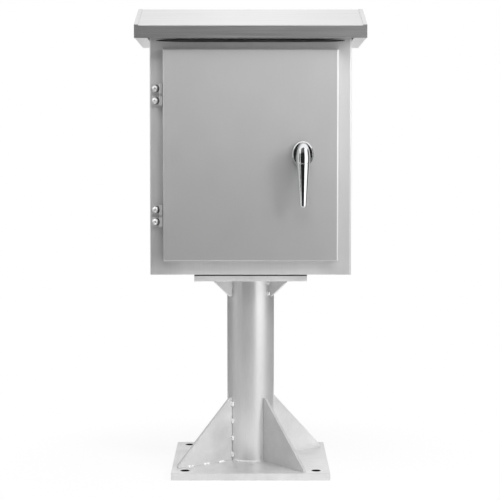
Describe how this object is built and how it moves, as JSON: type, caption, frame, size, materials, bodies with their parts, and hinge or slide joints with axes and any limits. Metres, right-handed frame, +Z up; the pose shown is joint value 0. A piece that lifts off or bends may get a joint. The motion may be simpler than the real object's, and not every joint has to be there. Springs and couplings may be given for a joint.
{
  "type": "outdoor electrical box",
  "caption": "Stainless outdoor electrical cabinet with a gabled rain hood, hinged door and chrome lever lock, on a round post with a gusseted base plate.",
  "frame": {"origin": "middle of the base plate's underside, at the centre of the anchor holes", "axes": "+Z up along the post, the door faces -Y, +X to the right of someone facing the door"},
  "size_m": [0.455, 0.3223, 0.9361],
  "materials": {
    "brushed_stainless": "satin stainless sheet with a fine brushed grain",
    "welded_stainless": "blasted and brushed stainless plate and tube",
    "chrome_plate": "polished chrome plating",
    "hinge_steel": "satin stainless",
    "zinc_steel": "bright zinc plating",
    "galvanised_plate": "galvanised sheet with a faint spangle",
    "brass": "turned brass",
    "black_rubber": "matt black rubber"
  },
  "bodies": {
    "cabinet": {"base_plate": "welded_stainless", "post": "welded_stainless", "base_gusset_front_right": "welded_stainless", "base_gusset_rear_right": "welded_stainless", "base_gusset_rear_left": "welded_stainless", "base_gusset_front_left": "welded_stainless", "top_gusset_front_right": "welded_stainless", "top_gusset_rear_right": "welded_stainless", "top_gusset_rear_left": "welded_stainless", "top_gusset_front_left": "welded_stainless", "top_plate": "welded_stainless", "flange_gasket": "black_rubber", "flange_washers": "zinc_steel", "flange_bolts": "zinc_steel", "cabinet_shell": "brushed_stainless", "back_panel": "brushed_stainless", "rain_hood": "brushed_stainless", "hood_bracket_left": "zinc_steel", "hood_bracket_right": "zinc_steel", "hood_bolts": "zinc_steel", "hood_nuts": "zinc_steel", "mounting_plate": "galvanised_plate", "mounting_studs": "zinc_steel", "mounting_washers": "zinc_steel", "mounting_nuts": "zinc_steel", "earth_stud": "zinc_steel", "earth_nut": "brass", "cable_grommet": "black_rubber", "upper_hinge_top_knuckle": "hinge_steel", "upper_hinge_bottom_knuckle": "hinge_steel", "lower_hinge_top_knuckle": "hinge_steel", "lower_hinge_bottom_knuckle": "hinge_steel", "hinge_bolts": "hinge_steel", "hinge_nuts": "zinc_steel", "upper_hinge_pin": "hinge_steel", "lower_hinge_pin": "hinge_steel"},
    "door": {"upper_door_lug": "hinge_steel", "lower_door_lug": "hinge_steel", "door_panel": "brushed_stainless", "door_seal": "black_rubber", "lock_washer": "black_rubber", "lock_body": "chrome_plate", "lock_nut": "zinc_steel"},
    "handle": {"lever": "chrome_plate", "spindle": "zinc_steel", "cam": "zinc_steel", "cam_screw": "zinc_steel", "cap_pin": "zinc_steel"},
    "dust_cap": {"dust_cap": "chrome_plate"},
    "key_plug": {"key_plug": "brass"}
  },
  "joints": [
    {"name": "door_swing", "type": "hinge", "parent": "cabinet", "child": "door", "pos_m": [-0.1776, -0.11, 0.641], "axis": [0, 0, -1], "range_deg": [0, 105]},
    {"name": "handle_turn", "type": "hinge", "parent": "door", "child": "handle", "pos_m": [0.103, -0.12, 0.6435], "axis": [0, 1, 0], "range_deg": [0, 90]},
    {"name": "dust_cap_flip", "type": "hinge", "parent": "handle", "child": "dust_cap", "pos_m": [0.103, -0.1505, 0.662], "axis": [-1, 0, 0], "range_deg": [0, 100]},
    {"name": "key_turn", "type": "hinge", "parent": "handle", "child": "key_plug", "pos_m": [0.103, -0.12, 0.6435], "axis": [0, 1, 0], "range_deg": [0, 90]}
  ]
}
